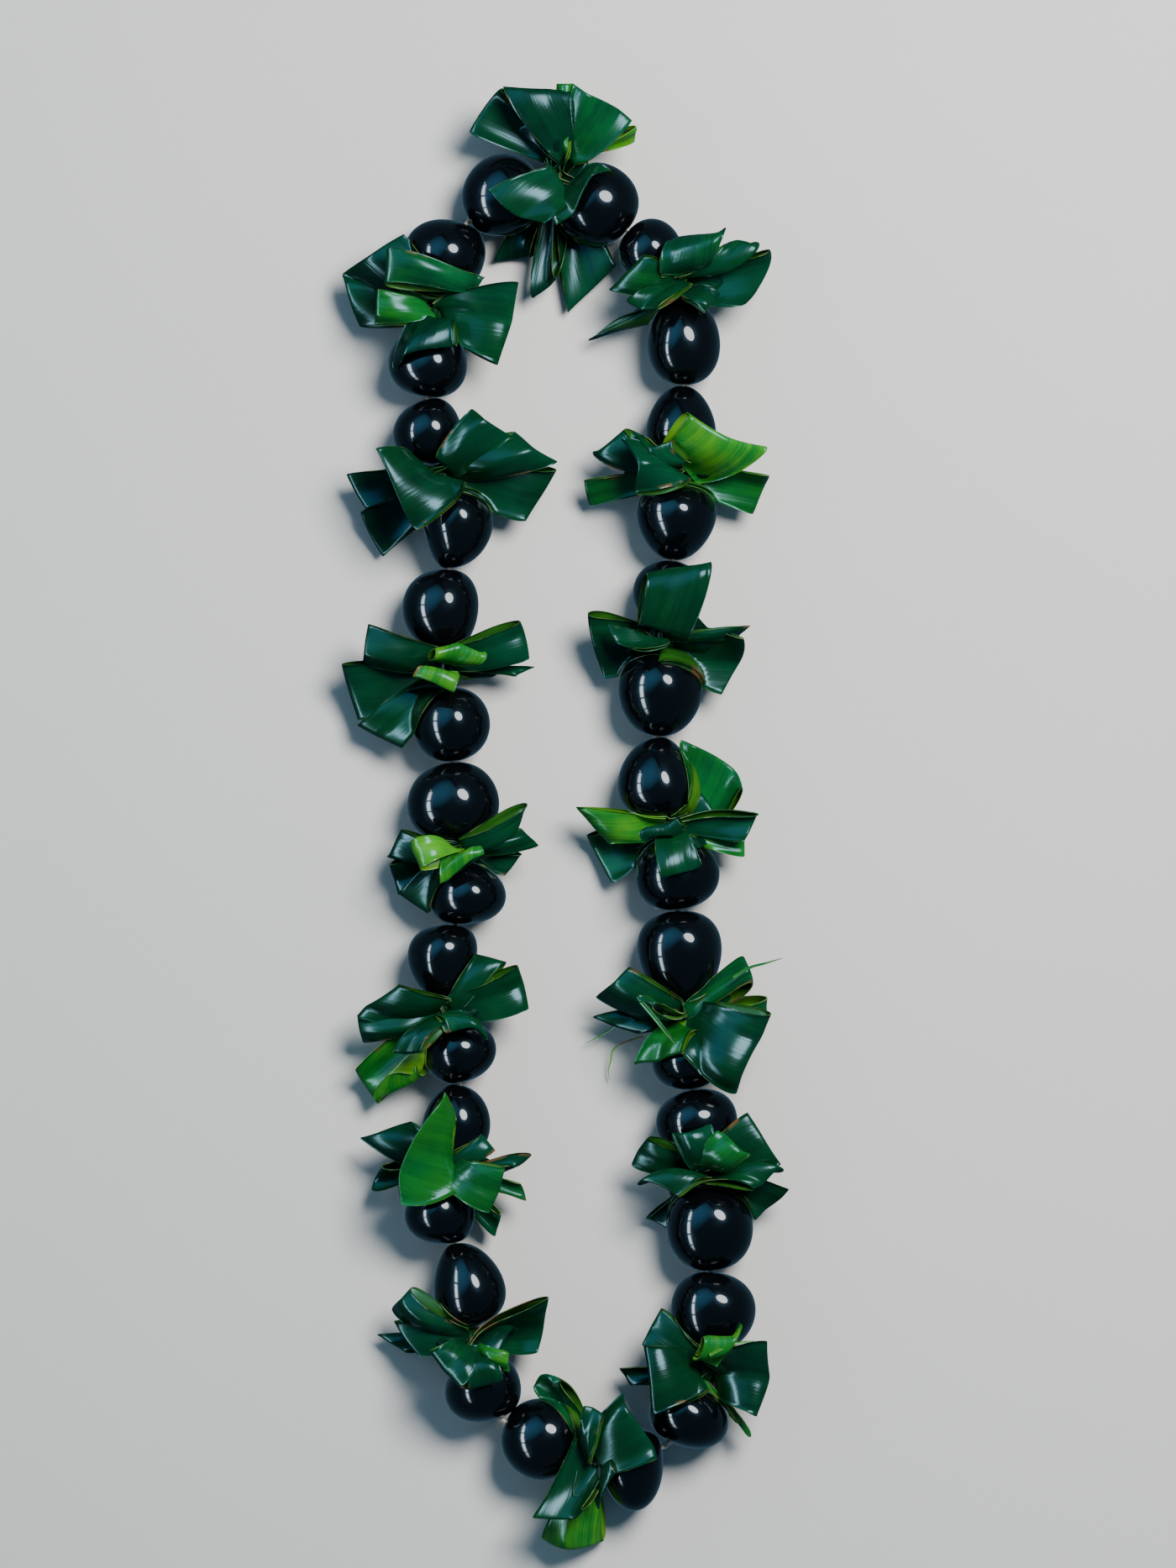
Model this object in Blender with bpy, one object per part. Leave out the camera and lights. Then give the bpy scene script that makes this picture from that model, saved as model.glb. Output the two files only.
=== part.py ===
"""Kukui nut lei: polished nuts on one closed cord, with a rosette of ti leaf after every second nut.

Lengths are in millimetres and become metres as each mesh is made. The lei lies on a table at z = 0, with its
long way along y. The cord runs clockwise, seen from above, from the rosette at the top.
"""

import math

import bmesh
import bpy
import numpy as np

MM = 0.001

CORD_HEIGHT = 12.6
CORD_RADIUS = 1.0
BORE_RADIUS = 1.6
MESH_GAP = 0.3

NUT_HEIGHT = 28.8
NUT_HEIGHT_SHARE = 0.53
NUT_FULLNESS = 0.85
NUT_EGG = 0.22
NUT_SHOULDER = NUT_HEIGHT / 4.5
NUT_SIDES = 8
NUT_RINGS = 8

LEAF_THICKNESS = 0.7
LEAF_CLEARANCE = 1.1
SAG_SHARE = 0.75
LAYER_SPACING = 1.4
FLOOR_CLEARANCE = 0.5
FOLD_MITRE = 2.0
ROOT_RADIUS = 3.1
ROOT_WIDTH = 3.2
ROOT_SPACING = 0.9
HUB_RADIUS = 6.4
HUB_END_RADIUS = 4.0
HUB_SIDES = 6
ROOT_SPREAD = 0.45
CLEARING_PASSES = 3
LONG_FOLD = 29.0
WIDE_FOLD = 22.0
NARROW_FOLD = 12.0
SEED = 2

# How a fold widens from its root, how its rows crowd toward the fold line, and how the gap between its two
# layers rises and closes again.
FLARE = 0.7
ROW_CROWDING = 1.25
OPENING_PEAK = 1.4
OPENING_RISE = 1.2
OPENING_CLOSE = 0.5

# The gap's widest half and the strip's arch, as shares of the fold's length, each drawn between two limits.
GAPES = (0.10, 0.16)
ARCHES = (0.06, 0.14)

# Where along a fold a nut is looked for.
LEANING_SHARES = (0.5, 0.7, 0.9)

# Where the cord passes through each rosette, and the (x, y) point where the two nuts after it meet.
ROSETTE_POINTS = (
    (-4, 231), (43, 190), (41, 122.5), (35, 63), (37, -4.5), (42, -73), (50, -127.5), (49.5, -198),
    (8, -230), (-33, -188), (-44, -126.5), (-42, -70.5), (-37.5, -13), (-43, 52), (-43, 121.5), (-46.5, 181),
)
MEETING_POINTS = (
    (22.5, 209), (42, 153.5), (38.5, 91), (33, 28), (40.5, -34), (45.5, -98), (52.5, -163), (36.5, -225.5),
    (-22.5, -216.5), (-39.5, -153), (-37.5, -96), (-39.5, -39), (-40.5, 19), (-41.5, 88), (-49, 149),
    (-35, 212),
)

# Each nut's width, how far its body stands off its bore toward the inside of the loop, and how pointed it is,
# positive where the point leads along the cord.
NUTS = (
    (30, 0, 0.0), (23, 0, 0.2), (26, 0, -0.2), (24.5, 0, -1.0), (28, 0, 1.0), (25, 0, 0.0), (30, 0, 0.5),
    (27.5, 2.4, -0.9), (30, -1.2, -0.3), (29.5, 0, 1.0), (26, 0, 0.0), (29, 0, 0.3), (31, -0.5, 0.0),
    (30, -1.8, 0.3), (29, -2.4, 0.0), (30, -6, -0.4), (29, 0, 0.2), (27.5, -2.5, 0.0), (25, 2.4, 1.0),
    (25, -3.5, 0.0), (24, 2, 0.4), (26, 2, 0.0), (24, -3.3, -1.0), (27.5, 3.9, 0.3), (33, -1, 0.2),
    (27.5, 1, 0.0), (27, -2.4, -0.3), (25, 3.9, -0.7), (24.5, -2.7, 0.0), (28, -1, 0.4), (29, -3.3, 0.0),
    (28.5, -1.5, -0.3),
)

# Half the length of each rosette's pinched hub along the cord.
HUB_HALF_LENGTHS = (5.4, 5.4, 3.8, 4.2, 3.0, 4.0, 4.5, 6.0, 3.6, 4.8, 3.6, 3.0, 3.0, 6.0, 4.2, 6.0)

# The folds of each rosette, as the two ends of the line where the leaf turns back: x and y from the rosette's
# point on the cord, and z above the table.
FOLDS = (
    (
        ((-26, 14, 18), (-12, 28, 26)), ((-12, 28, 30), (7, 28, 33)), ((7, 29, 30), (31, 10, 18)),
        ((-21, -9, 30), (-3, -19, 35)), ((-1, -20, 36), (20, 0, 31)), ((-18, -33, 4), (-6, -31, 5)),
        ((-5, -46, 9), (4, -39, 12)), ((24, -34, 4), (8, -51, 5)),
    ),
    (
        ((-7, 13, 30), (14, 19, 33)), ((30, 12, 24), (22, -6, 16)), ((11, 11, 24), (24, 15, 20)),
        ((-15, 9, 27), (-27, -3, 21)), ((-35, -20, 9), (-19, -16, 12)), ((-21, -8, 28), (-10, -11, 31)),
        ((12, -4, 27), (7, -11, 30)),
    ),
    (
        ((3, 20, 33), (31, 8, 25)), ((32, -1, 19), (26, -14, 9)), ((-18, 12, 27), (-3, 10, 33)),
        ((-18, 12, 32), (-15, -8, 31)), ((-31, 7, 14), (-20, 14, 21)), ((-34, -3, 13), (-32, -12, 8)),
    ),
    (
        ((-6, 23, 31), (17, 27, 33)), ((-27, 9, 20), (-21, -13, 10)), ((31, 3, 18), (24, -1, 14)),
        ((28, -3, 22), (21, -19, 12)), ((-19, 8, 29), (-13, -4, 31)),
    ),
    (
        ((6, 31, 12), (26, 13, 17)), ((-33, 7, 18), (-22, -12, 10)), ((-27, -4, 8), (-20, -18, 6)),
        ((32, 6, 20), (26, -8, 12)), ((-9, -5, 30), (5, 1, 32)), ((-3, -18, 32), (12, -13, 30)),
    ),
    (
        ((-19, 19, 24), (-31, 7, 16)), ((-32, 1, 11), (-16, -5, 14)), ((-17, -16, 16), (0, -12, 28)),
        ((22, 22, 18), (25, 13, 22)), ((30, 8, 12), (30, 0, 10)), ((31, 2, 28), (19, -26, 24)),
        ((-16, 9, 32), (-11, 5, 33)),
    ),
    (
        ((15, 21, 24), (27, 3, 20)), ((28, 1, 22), (17, -5, 27)), ((4, 15, 33), (16, 7, 32)),
        ((-20, 13, 22), (-26, 3, 16)), ((-24, -5, 24), (-10, -6, 30)), ((-21, -17, 7), (-13, -20, 6)),
        ((30, -6, 14), (18, -17, 10)), ((-12, 14, 30), (2, 17, 31)),
    ),
    (
        ((-15, 22, 18), (-22, 9, 20)), ((-20, 9, 31), (-19, -15, 28)), ((-30, 0, 10), (-26, -6, 9)),
        ((1, 10, 33), (14, 16, 30)), ((23, 11, 26), (20, -16, 22)), ((13, -18, 14), (17, -24, 12)),
    ),
    (
        ((-18, 27, 16), (-8, 27, 20)), ((-1, 20, 30), (6, 17, 31)), ((13, 24, 26), (23, 1, 32)),
        ((11, 10, 34), (10, -3, 35)), ((-18, -20, 28), (0, -14, 33)), ((1, -16, 27), (9, -12, 28)),
        ((-15, -29, 10), (5, -30, 9)),
    ),
    (
        ((-22, 19, 20), (-29, 11, 14)), ((-34, 2, 6), (-24, -4, 8)), ((-15, -3, 29), (-4, -16, 32)),
        ((-2, -16, 28), (10, -14, 23)), ((13, -3, 32), (13, -10, 29)), ((27, 17, 24), (23, -4, 14)),
        ((-28, 7, 18), (-19, -5, 16)),
    ),
    (
        ((-1, 29, 32), (-13, 9, 35)), ((-14, 9, 36), (-12, -13, 33)), ((-11, 17, 16), (-29, 11, 14)),
        ((-21, 2, 14), (-25, -7, 10)), ((23, 1, 28), (17, -15, 26)), ((32, 5, 16), (26, 1, 18)),
        ((28, -5, 14), (30, -11, 12)), ((21, -16, 10), (19, -24, 8)), ((14, 13, 22), (19, 7, 22)),
    ),
    (
        ((-17, 11, 25), (-32, -2, 18)), ((-32, -2, 16), (-30, -11, 14)), ((-33, -20, 12), (-25, -32, 8)),
        ((-25, -32, 9), (-10, -22, 16)), ((-19, -14, 28), (-9, -14, 30)), ((10, 21, 18), (21, 18, 20)),
        ((25, 17, 20), (29, 2, 16)), ((1, -5, 31), (15, -8, 28)),
    ),
    (
        ((-17, 4, 32), (-14, -6, 32)), ((-7, -11, 31), (9, -1, 30)), ((24, 17, 24), (20, 8, 20)),
        ((28, 2, 16), (22, 8, 18)), ((22, -1, 15), (16, -8, 12)), ((-21, 7, 18), (-26, -3, 12)),
        ((-22, -15, 12), (-11, -22, 14)),
    ),
    (
        ((-27, 15, 24), (-29, 1, 18)), ((-37, 2, 14), (-31, -18, 12)), ((-31, -19, 11), (-13, -25, 16)),
        ((-3, 8, 32), (15, 7, 30)), ((-11, -3, 31), (4, -7, 33)), ((27, 17, 22), (30, 5, 16)),
        ((32, 1, 12), (25, -2, 12)),
    ),
    (
        ((-25, 8, 33), (-8, -19, 36)), ((-35, -1, 14), (-25, -6, 12)), ((-30, -13, 10), (-22, -29, 6)),
        ((10, 23, 27), (24, 12, 27)), ((25, 15, 22), (40, 4, 21)), ((40, 2, 17), (29, -16, 12)),
    ),
    (
        ((-11, 26, 20), (-33, 12, 12)), ((-33, 12, 10), (-27, -6, 12)), ((-14, 19, 31), (-15, 7, 33)),
        ((-20, 6, 28), (-21, -6, 24)), ((-15, -22, 24), (6, -12, 32)), ((30, 8, 25), (24, -21, 18)),
        ((-5, 14, 32), (17, 9, 30)),
    ),
)


def unit(vector):
    return vector / np.linalg.norm(vector)


def cord_points():
    """The cord's corners in order: each rosette's point, then the meeting point after it."""
    pairs = zip(ROSETTE_POINTS, MEETING_POINTS)
    return [np.array((x, y, CORD_HEIGHT), float) for pair in pairs for x, y in pair]


def bend_gap(before, at, after):
    """How far two round nuts stand back from a corner of the cord, so that their shoulders stay apart."""
    cosine = float(np.dot(unit(at - before), unit(after - at)))
    half_bend = math.acos(min(1.0, cosine)) / 2
    return MESH_GAP / 2 + NUT_SHOULDER * math.tan(half_bend) ** 2


def nut_frames(points):
    """Each nut's two ends on the cord, its half width and half height, its offset and its point."""
    frames = []
    for index, (width, shift, tip) in enumerate(NUTS):
        start = points[index]
        end = points[(index + 1) % len(points)]
        rosette, other = (index, 1) if index % 2 == 0 else (index + 1, -1)
        hub = HUB_HALF_LENGTHS[rosette // 2 % len(HUB_HALF_LENGTHS)] + MESH_GAP
        corner = (rosette + other) % len(points)
        meeting = bend_gap(points[corner - 1], points[corner], points[(corner + 1) % len(points)])
        along = unit(end - start)
        head, tail = (hub, meeting) if index % 2 == 0 else (meeting, hub)
        half_height = min(NUT_HEIGHT / 2, width * NUT_HEIGHT_SHARE)
        frames.append((start + along * head, end - along * tail, width / 2, half_height, shift, tip))
    return frames


def nut_rings(frame, rings, sides):
    """Rings of points round a nut from one mouth of its bore to the other, flat where it meets the table."""
    start, end, half_width, half_height, shift, tip = frame
    along = unit(end - start)
    inward = np.array((along[1], -along[0], 0.0))
    up = np.array((0.0, 0.0, 1.0))
    half_length = np.linalg.norm(end - start) / 2
    mouth = math.asin((BORE_RADIUS / half_width) ** (1 / NUT_FULLNESS))
    turn = (np.arange(sides) + 0.5) * 2 * math.pi / sides
    made = []
    for index, angle in enumerate(np.linspace(mouth, math.pi - mouth, rings)):
        along_nut = -math.cos(angle)
        girth = math.sin(angle) ** NUT_FULLNESS * (1 - NUT_EGG * tip * along_nut)
        wide, high, off = half_width * girth, half_height * girth, shift * math.sin(angle)
        if index in (0, rings - 1):
            wide, high, off = BORE_RADIUS, BORE_RADIUS, 0.0
        centre = (start + end) / 2 + along * half_length * along_nut + inward * off
        ring = centre + np.outer(np.sin(turn) * wide, inward) - np.outer(np.cos(turn) * high, up)
        ring[:, 2] = np.maximum(ring[:, 2], 0.0)
        made.append(ring)
    return made


def ring_mesh(rings):
    """Points and faces of a closed ring-shaped body, from rings that run round it and back to the first."""
    sides = len(rings[0])
    count = len(rings)
    faces = []
    for ring in range(count):
        for side in range(sides):
            here, there = ring * sides, (ring + 1) % count * sides
            after = (side + 1) % sides
            faces.append((here + side, here + after, there + after, there + side))
    return np.concatenate(rings), faces


def new_object(name, points, faces, material):
    """A smooth-shaded closed mesh object, with its faces turned outward."""
    mesh = bpy.data.meshes.new(name)
    mesh.from_pydata([tuple(point) for point in points * MM], [], faces)
    shape = bmesh.new()
    shape.from_mesh(mesh)
    bmesh.ops.recalc_face_normals(shape, faces=shape.faces)
    shape.to_mesh(mesh)
    shape.free()
    mesh.materials.append(material)
    mesh.shade_smooth()
    made = bpy.data.objects.new(name, mesh)
    bpy.context.scene.collection.objects.link(made)
    return made


def new_material(name, colour, roughness):
    material = bpy.data.materials.new(name)
    material.use_nodes = True
    surface = material.node_tree.nodes["Principled BSDF"]
    surface.inputs["Base Color"].default_value = (*colour, 1.0)
    surface.inputs["Roughness"].default_value = roughness
    return material


def make_cord(points, material):
    """One closed cord through every bore."""
    curve = bpy.data.curves.new("stringing_cord", "CURVE")
    curve.dimensions = "3D"
    curve.bevel_depth = CORD_RADIUS * MM
    curve.bevel_resolution = 2
    spline = curve.splines.new("POLY")
    spline.points.add(len(points) - 1)
    for place, point in zip(spline.points, points):
        place.co = (*(point * MM), 1.0)
    spline.use_cyclic_u = True
    curve.materials.append(material)
    cord = bpy.data.objects.new("stringing_cord", curve)
    bpy.context.scene.collection.objects.link(cord)


def make_nuts(frames, material):
    for number, frame in enumerate(frames, 1):
        points, faces = ring_mesh(nut_rings(frame, NUT_RINGS, NUT_SIDES))
        new_object(f"nut_{number:02d}", points, faces, material)


def hub_mesh(points, index, half_length):
    """The pinched middle of a rosette: a spindle with a bore that bends with the cord."""
    at = points[index]
    before = unit(at - points[index - 1])
    after = unit(points[(index + 1) % len(points)] - at)
    middle = unit(before + after)
    stations = ((at - before * half_length, before), (at, middle), (at + after * half_length, after))
    turn = np.arange(HUB_SIDES) * 2 * math.pi / HUB_SIDES
    up = np.array((0.0, 0.0, 1.0))
    outer = []
    inner = []
    for (centre, along), radius in zip(stations, (HUB_END_RADIUS, HUB_RADIUS, HUB_END_RADIUS)):
        inward = np.array((along[1], -along[0], 0.0))
        circle = np.outer(np.sin(turn), inward) + np.outer(np.cos(turn), up)
        outer.append(centre + circle * radius)
        inner.append(centre + circle * BORE_RADIUS)
    return ring_mesh(outer + inner[::-1])


def clear_of_nuts(point, margin, frames):
    """The point, moved straight out from any nut that it is in or nearer to than the margin."""
    for start, end, half_width, half_height, shift, tip in frames:
        along = unit(end - start)
        inward = np.array((along[1], -along[0], 0.0))
        centre = (start + end) / 2 + inward * shift
        half_length = np.linalg.norm(end - start) / 2
        offset = point - centre
        local = np.array((offset @ along, offset @ inward, offset[2]))
        girth = 1 - NUT_EGG * tip * np.clip(local[0] / half_length, -1, 1)
        sizes = np.array((half_length, half_width * girth, half_height * girth)) + margin
        along_share, wide_share, high_share = (local / sizes) ** 2
        depth = math.sqrt(along_share + (wide_share + high_share) ** (1 / NUT_FULLNESS))
        if depth < 1:
            point = centre + offset / depth
    return point


def fold_grid(base, leg, corners, frames, clearance, gape, arch, steps, columns, layers):
    """Middle surface of one folded strip: from its pinched root, over the fold line and back to the root.

    The cord pierces the strip, so that its root lies square to the cord, between the two nuts, and twists to
    the fold line as it widens. The two layers stand apart along the strip's normal and meet in the fold.
    """
    first, second = corners
    middle = (first + second) / 2
    reach = middle - base
    radial = unit(reach - leg * (reach @ leg))
    root = base + radial * ROOT_RADIUS
    across = second - first
    root_across = np.cross(leg, radial) * ROOT_WIDTH
    root_across *= 1.0 if root_across @ across > 0 else -1.0
    nuts = [(start + end) / 2 for start, end, *_ in frames]
    nearest = min(nuts, key=lambda nut: np.linalg.norm(middle - nut))
    out = 1 - np.linspace(1, 0, steps + 1)[:, None, None] ** ROW_CROWDING
    side = np.linspace(-0.5, 0.5, columns)[None, :, None]
    grid = root + (middle - root) * out + (root_across + (across - root_across) * out**FLARE) * side
    normal = np.cross(np.gradient(grid, axis=0), np.gradient(grid, axis=1))
    normal /= np.linalg.norm(normal, axis=2, keepdims=True)
    normal *= 1.0 if normal[-1].mean(axis=0) @ (middle - nearest) > 0 else -1.0
    grid += normal * arch * np.sin(math.pi * out) * (1 - side * side)
    if layers == 1:
        return clear_layer(grid, normal, 0.5, clearance, frames)
    closing = (1 - out) ** OPENING_CLOSE
    opening = ROOT_SPACING / 2 * closing + OPENING_PEAK * gape * out**OPENING_RISE * closing
    far = clear_layer(grid + normal * opening, normal, 1.0, clearance, frames)
    near = clear_layer(grid - normal * opening, normal, 0.0, clearance, frames)
    far[-1] = near[-1] = (far[-1] + near[-1]) / 2
    return np.concatenate((near, far[-2::-1]))


def leans_on_nut(base, corners, frames):
    """Whether the straight way from the cord to a fold line passes close to a nut or through it."""
    targets = (*corners, sum(corners) / 2)
    tries = [base + (target - base) * out for target in targets for out in LEANING_SHARES]
    return any((clear_of_nuts(point, LEAF_CLEARANCE, frames) != point).any() for point in tries)


def clear_layer(grid, normal, layer, clearance, frames):
    """One layer's points moved clear of the nuts and the table, with the far layer standing off further."""
    lowest = FLOOR_CLEARANCE + LEAF_THICKNESS / 2
    cleared = grid.copy()
    for place in np.ndindex(grid.shape[:2]):
        for _ in range(CLEARING_PASSES if place[0] > 0 else 0):
            cleared[place] = clear_of_nuts(cleared[place], clearance + LAYER_SPACING * layer, frames)
        above = layer if normal[place][2] > 0 else 1 - layer
        cleared[place][2] = max(cleared[place][2], lowest + LAYER_SPACING * above)
    return cleared


def sheet_mesh(grid, layers):
    """Points and triangles of a closed sheet of leaf round a grid, split alike on both faces."""
    rows, columns = grid.shape[:2]
    normal = np.cross(np.gradient(grid, axis=0), np.gradient(grid, axis=1))
    normal /= np.linalg.norm(normal, axis=2, keepdims=True)
    offset = normal * LEAF_THICKNESS / 2
    if layers == 2:
        offset[rows // 2] *= FOLD_MITRE
    points = np.concatenate(((grid + offset).reshape(-1, 3), (grid - offset).reshape(-1, 3)))
    back = rows * columns
    faces = []
    for row in range(rows - 1):
        for column in range(columns - 1):
            a = row * columns + column
            b, c, d = a + 1, a + columns, a + columns + 1
            faces += [(a, b, d), (a, d, c), (back + a, back + d, back + b), (back + a, back + c, back + d)]
    rim = [row * columns for row in range(rows)]
    rim += [back - columns + column for column in range(1, columns)]
    rim += [row * columns + columns - 1 for row in reversed(range(rows - 1))]
    rim += [column for column in reversed(range(1, columns - 1))]
    for here, there in zip(rim, rim[1:] + rim[:1]):
        faces += [(here, there, back + there), (here, back + there, back + here)]
    return points, faces


def outer_body(made):
    """Keeps the one outer body of a fused mesh: sealed hollows are filled and loose scraps dropped."""
    shape = bmesh.new()
    shape.from_mesh(made.data)
    left = set(shape.faces)
    bodies = []
    while left:
        body = set()
        found = [left.pop()]
        while found:
            face = found.pop()
            body.add(face)
            near = {other for edge in face.edges for other in edge.link_faces} & left
            left -= near
            found.extend(near)
        bodies.append(body)
    bodies.sort(key=len)
    for body in bodies[:-1]:
        bmesh.ops.delete(shape, geom=list(body), context="FACES")
    shape.to_mesh(made.data)
    shape.free()


def fuse(made, pieces):
    """One body of an object and the pieces that grow from it."""
    group = bpy.data.collections.new(made.name + "_folds")
    bpy.context.scene.collection.children.link(group)
    for piece in pieces:
        bpy.context.scene.collection.objects.unlink(piece)
        group.objects.link(piece)
    union = made.modifiers.new("folds", "BOOLEAN")
    union.operation = "UNION"
    union.operand_type = "COLLECTION"
    union.collection = group
    union.solver = "MANIFOLD"
    fused = bpy.data.meshes.new_from_object(made.evaluated_get(bpy.context.evaluated_depsgraph_get()))
    made.modifiers.clear()
    made.data = fused
    for piece in pieces:
        bpy.data.objects.remove(piece)
    bpy.data.collections.remove(group)
    outer_body(made)


def flat_span_sag(*spans):
    """How far the middle of a flat patch of these spans sinks below a round as tall as a nut."""
    return sum(span**2 for span in spans) / (8 * NUT_HEIGHT / 2)


def make_rosettes(points, frames, material):
    for number, (folds, half_length) in enumerate(zip(FOLDS, HUB_HALF_LENGTHS)):
        chance = np.random.default_rng((SEED, number))
        index = 2 * number
        centre = points[index]
        before = unit(centre - points[index - 1])
        after = unit(points[(index + 1) % len(points)] - centre)
        name = f"ti_rosette_{number + 1:02d}"
        rosette = new_object(name, *hub_mesh(points, index, half_length), material)
        ends = [np.array([(centre[0] + x, centre[1] + y, z) for x, y, z in corners]) for corners in folds]
        order = np.argsort(np.argsort([pair.mean(axis=0) @ (before + after) for pair in ends]))
        pieces = []
        for pair, rank in zip(ends, order):
            length = np.linalg.norm(pair.mean(axis=0) - centre)
            width = np.linalg.norm(pair[1] - pair[0])
            offset = half_length * ROOT_SPREAD * (2 * rank / (len(folds) - 1) - 1)
            gape = length * chance.uniform(*GAPES)
            arch = length * chance.uniform(*ARCHES)
            leg = after if offset > 0 else before
            columns = 3 if width > WIDE_FOLD else 2
            steps = 2 + int(length > LONG_FOLD) + int(leans_on_nut(centre, pair, frames))
            sag = flat_span_sag(length / steps, width / (columns - 1))
            clearance = LEAF_CLEARANCE + SAG_SHARE * sag
            layers = 1 if width < NARROW_FOLD else 2
            base = centre + leg * offset
            grid = fold_grid(base, leg, pair, frames, clearance, gape, arch, steps, columns, layers)
            pieces.append(new_object(name + "_fold", *sheet_mesh(grid, layers), material))
        fuse(rosette, pieces)


def main():
    for old in list(bpy.data.objects):
        bpy.data.objects.remove(old)
    points = cord_points()
    frames = nut_frames(points)
    make_cord(points, new_material("cotton_thread", (0.80, 0.78, 0.70), 0.85))
    make_nuts(frames, new_material("polished_nut", (0.008, 0.010, 0.014), 0.10))
    make_rosettes(points, frames, new_material("ti_leaf", (0.020, 0.105, 0.045), 0.35))


main()
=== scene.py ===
"""A kukui nut lei laid out on a table: 32 polished nuts and 16 rosettes of ti leaf on one closed cord.

Lengths are in millimetres, and become metres as each mesh is made. The lei lies at z = 0 with its long way
along y, and the cord runs clockwise, seen from above, from the rosette at the top.
"""

import math

import bpy
import numpy as np
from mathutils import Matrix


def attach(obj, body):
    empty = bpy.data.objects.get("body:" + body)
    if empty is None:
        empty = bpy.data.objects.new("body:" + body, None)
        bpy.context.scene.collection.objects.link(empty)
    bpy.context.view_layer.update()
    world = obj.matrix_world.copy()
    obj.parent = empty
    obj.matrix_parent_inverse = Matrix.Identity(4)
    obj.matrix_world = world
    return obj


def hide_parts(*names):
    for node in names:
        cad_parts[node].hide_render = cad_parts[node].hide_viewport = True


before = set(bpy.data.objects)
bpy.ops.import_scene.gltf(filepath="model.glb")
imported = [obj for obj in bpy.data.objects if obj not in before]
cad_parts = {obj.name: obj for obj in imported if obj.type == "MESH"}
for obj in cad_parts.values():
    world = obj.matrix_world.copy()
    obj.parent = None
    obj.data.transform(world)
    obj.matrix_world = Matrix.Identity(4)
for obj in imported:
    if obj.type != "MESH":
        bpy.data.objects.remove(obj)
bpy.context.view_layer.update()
MM = 0.001


# The camera looks straight down from well above the lei, so that no rosette leans outward much. The middle of
# the picture lies a little to the right of the loop's own middle and above it.

PICTURE_HEIGHT = 1867
TABLE_PER_PIXEL = 0.3
PICTURE_MIDDLE = (8.25, 11.1)
NUT_MIDDLE_HEIGHT = 14.0
CAMERA_HEIGHT = 4000.0
SENSOR = 36.0

camera = bpy.data.objects.new("camera", bpy.data.cameras.new("camera"))
bpy.context.scene.collection.objects.link(camera)
camera.data.sensor_width = SENSOR
camera.data.lens = SENSOR * CAMERA_HEIGHT / (PICTURE_HEIGHT * TABLE_PER_PIXEL)
camera.location = [part * MM for part in (*PICTURE_MIDDLE, CAMERA_HEIGHT + NUT_MIDDLE_HEIGHT)]
bpy.context.scene.camera = camera


# The stringing cord is one closed length of white three-strand cotton, knotted inside a nut. It runs level
# through every nut and every rosette, on the solid's route with the corners eased.

CORD_HEIGHT = 12.6
CORD_RADIUS = 1.0
CORD_SPACING = 0.6
CORD_EASE = 3
CORD_SIDES = 15
CORD_STRANDS = 3
CORD_LAY = 7.0
STRAND_DEPTH = 0.3
COTTON = (0.72, 0.69, 0.60)
COTTON_SHADE = (0.42, 0.39, 0.32)
COTTON_FUZZ_SCALE = 1600.0
COTTON_BUMP = (0.15, 0.8)
UP = np.array((0.0, 0.0, 1.0))

# The places of a colour Mix node's share and colours among its inputs, and of its result's output.
MIX_SHARE = 0
MIX_COLOURS = (6, 7)
MIX_RESULT = 2

# The route's corners in x and y: the rosettes, and the places where the two nuts after each of them meet.
ROSETTE_POINTS = (
    (-4, 231), (43, 190), (41, 122.5), (35, 63), (37, -4.5), (42, -73), (50, -127.5), (49.5, -198),
    (8, -230), (-33, -188), (-44, -126.5), (-42, -70.5), (-37.5, -13), (-43, 52), (-43, 121.5), (-46.5, 181),
)
MEETING_POINTS = (
    (22.5, 209), (42, 153.5), (38.5, 91), (33, 28), (40.5, -34), (45.5, -98), (52.5, -163), (36.5, -225.5),
    (-22.5, -216.5), (-39.5, -153), (-37.5, -96), (-39.5, -39), (-40.5, 19), (-41.5, 88), (-49, 149),
    (-35, 212),
)
cord_corners = [
    np.array((x, y, CORD_HEIGHT), float) for pair in zip(ROSETTE_POINTS, MEETING_POINTS) for x, y in pair
]


def unit(vectors):
    """Vectors divided by their lengths."""
    return vectors / np.linalg.norm(vectors, axis=-1, keepdims=True)


def even_route(points):
    """Points spaced along a closed line, each then the mean of its neighbours; and the line's length."""
    closed = np.vstack((points, points[:1]))
    marks = np.concatenate(((0.0,), np.cumsum(np.linalg.norm(np.diff(closed, axis=0), axis=1))))
    count = int(marks[-1] / CORD_SPACING)
    places = np.arange(count) * marks[-1] / count
    route = np.stack([np.interp(places, marks, closed[:, axis]) for axis in range(3)], axis=1)
    near = [np.roll(route, shift, axis=0) for shift in range(-CORD_EASE, CORD_EASE + 1)]
    return np.mean(near, axis=0), marks[-1]


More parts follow.
